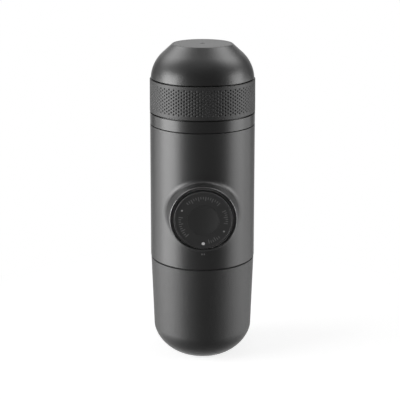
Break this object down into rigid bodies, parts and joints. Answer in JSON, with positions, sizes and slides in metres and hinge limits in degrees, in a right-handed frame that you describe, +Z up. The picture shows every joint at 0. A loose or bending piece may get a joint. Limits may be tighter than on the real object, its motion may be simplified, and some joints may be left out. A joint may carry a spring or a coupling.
{
  "type": "handheld manual espresso maker",
  "caption": "Pocket espresso pump standing on its own push-on cup, with a side pump knob, a screw-off water tank on top and a capsule head inside the cup.",
  "frame": {"origin": "centre of the drinking cup's flat base, on the body's axis", "axes": "+Z up along the body's axis, -Y out of the pump knob, +X to the right seen from the knob's side"},
  "size_m": [0.059, 0.0672, 0.1793],
  "materials": {
    "housing_grey": "fine satin grain, dark warm grey",
    "cup_grey": "fine satin grain, dark warm grey",
    "collar_grey": "smooth semi-gloss, dark warm grey",
    "tank_grey": "fine satin grain, dark warm grey",
    "grip_grey": "satin, with a fine staggered grip pattern",
    "disc_grey": "smooth satin inlay",
    "knob_black": "near-black satin",
    "knob_insert": "near-black satin, dished",
    "mark_white": "white inlay",
    "inner_black": "moulded black",
    "head_black": "moulded black, satin",
    "basket_grey": "moulded dark grey",
    "steel": "turned stainless steel",
    "tube_clear": "milky tube",
    "seal_rubber": "soft black rubber"
  },
  "bodies": {
    "housing": {"main_housing": "housing_grey", "collar_ring": "collar_grey", "knob_guide": "inner_black", "guide_screws": "steel", "pump_carrier": "inner_black", "pump_cylinder": "steel", "cylinder_cap": "inner_black", "return_spring": "steel", "valve_block": "inner_black", "inlet_seat": "inner_black", "inlet_spring": "steel", "outlet_plug": "inner_black", "outlet_spring": "steel", "feed_tube": "tube_clear", "brew_tube": "tube_clear", "tank_bulkhead": "inner_black", "intake_filter": "steel", "vent_valve": "seal_rubber", "brew_neck": "inner_black", "cup_seal": "seal_rubber", "needle_plate": "steel", "brew_seal": "seal_rubber"},
    "cup": {"cup_shell": "cup_grey"},
    "plunger": {"plunger_rod": "steel", "piston_seal": "seal_rubber", "knob_screw": "steel"},
    "knob": {"knob_shell": "knob_black", "knob_face": "knob_insert", "knob_dots": "mark_white"},
    "tank_carriage": {"tank_seal": "seal_rubber"},
    "tank": {"tank_shell": "tank_grey", "tank_grip_ring": "grip_grey", "tank_top_disc": "disc_grey"},
    "basket": {"capsule_holder": "basket_grey"},
    "head": {"outlet_head": "head_black"},
    "inlet_valve": {"inlet_poppet": "inner_black"},
    "outlet_valve": {"outlet_poppet": "inner_black"}
  },
  "joints": [
    {"name": "cup_pull", "type": "slide", "parent": "housing", "child": "cup", "axis": [0, 0, -1], "range_m": [0, 0.06]},
    {"name": "plunger_stroke", "type": "slide", "parent": "housing", "child": "plunger", "axis": [0, -1, 0], "range_m": [0, 0.022], "deforming": ["return_spring"]},
    {"name": "knob_turn", "type": "hinge", "parent": "plunger", "child": "knob", "pos_m": [0, -0.0375, 0.0899], "axis": [0, -1, 0], "range_deg": [0, 60]},
    {"name": "tank_lift", "type": "slide", "parent": "housing", "child": "tank_carriage", "axis": [0, 0, 1], "range_m": [0, 0.012]},
    {"name": "tank_turn", "type": "hinge", "parent": "tank_carriage", "child": "tank", "pos_m": [0, 0, 0.15], "axis": [0, 0, 1], "range_deg": [0, 360]},
    {"name": "head_lift", "type": "slide", "parent": "housing", "child": "basket", "axis": [0, 0, -1], "range_m": [0, 0.009]},
    {"name": "head_turn", "type": "hinge", "parent": "basket", "child": "head", "pos_m": [0, 0, 0.04], "axis": [0, 0, -1], "range_deg": [0, 270]},
    {"name": "inlet_lift", "type": "slide", "parent": "housing", "child": "inlet_valve", "axis": [0, 0, -1], "range_m": [0, 0.001], "stiffness_N_per_m": 100, "deforming": ["inlet_spring"]},
    {"name": "outlet_lift", "type": "slide", "parent": "housing", "child": "outlet_valve", "axis": [0, 0, -1], "range_m": [0, 0.001], "stiffness_N_per_m": 100, "deforming": ["outlet_spring"]}
  ],
  "couplings": [
    {"joint": "tank_lift", "follows": "tank_turn", "m_per_rad": 0.0019099},
    {"joint": "head_lift", "follows": "head_turn", "m_per_rad": 0.0019099}
  ]
}
